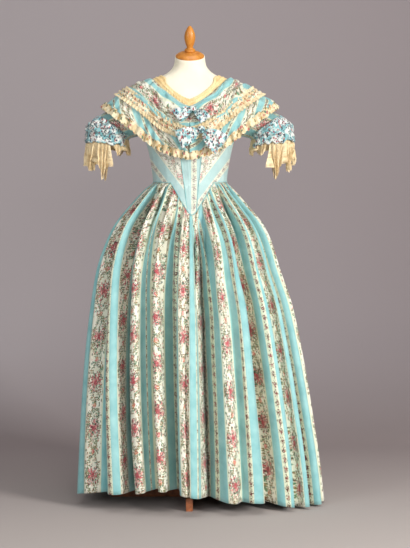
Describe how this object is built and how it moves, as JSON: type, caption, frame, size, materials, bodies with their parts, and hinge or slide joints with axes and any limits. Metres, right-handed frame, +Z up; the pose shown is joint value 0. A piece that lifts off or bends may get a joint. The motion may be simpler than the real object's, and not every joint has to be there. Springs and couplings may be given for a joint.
{
  "type": "ball gown on a dress form",
  "caption": "Full-skirted ball gown of striped floral silk with bertha, bows and lace sleeves, on a limbless dress form with wooden cap and cross stand.",
  "frame": {"origin": "middle of the underside of the box round the whole object, at floor level", "axes": "+Z up, the gown faces -Y, the wearer's left is +X"},
  "size_m": [0.8008, 0.7832, 1.5479],
  "materials": {
    "silk": "striped taffeta in turquoise and cream with woven flowers, soft sheen",
    "bow_silk": "narrow figured silk, ruched, soft sheen",
    "trimming": "ruched and scalloped silk trimming with small woven flowers",
    "lace": "aged cream net and bobbin lace, matt",
    "linen": "ivory cotton jersey over a padded form, matt",
    "beech": "turned beech, clear varnish, satin",
    "walnut": "stained wood, satin"
  },
  "bodies": {
    "root": {"form_torso": "linen", "form_neck_cap": "beech", "form_knob": "beech", "stand_foot_long": "walnut", "stand_foot_left": "walnut", "stand_foot_right": "walnut", "stand_pole": "walnut", "bodice_front_centre": "silk", "bodice_front_left": "silk", "bodice_back_left": "silk", "bodice_side_back_left": "silk", "bodice_front_right": "silk", "bodice_back_right": "silk", "bodice_side_back_right": "silk", "skirt_front": "silk", "skirt_side_front_left": "silk", "skirt_side_back_left": "silk", "skirt_back": "silk", "skirt_side_back_right": "silk", "skirt_side_front_right": "silk", "neck_edging": "lace", "bertha_drape_left": "silk", "bertha_band_left": "trimming", "bertha_flounce_left": "silk", "bertha_edge_left": "trimming", "bertha_drape_right": "silk", "bertha_band_right": "trimming", "bertha_flounce_right": "silk", "bertha_edge_right": "trimming", "sleeve_left": "silk", "sleeve_puff_left": "bow_silk", "sleeve_lace_outer_left": "lace", "sleeve_lace_inner_left": "lace", "sleeve_right": "silk", "sleeve_puff_right": "bow_silk", "sleeve_lace_outer_right": "lace", "sleeve_lace_inner_right": "lace", "bow_upper_knot": "bow_silk", "bow_upper_loop_left": "bow_silk", "bow_upper_loop_right": "bow_silk", "bow_lower_knot": "bow_silk", "bow_lower_loop_left": "bow_silk", "bow_lower_loop_right": "bow_silk"}
  },
  "joints": []
}
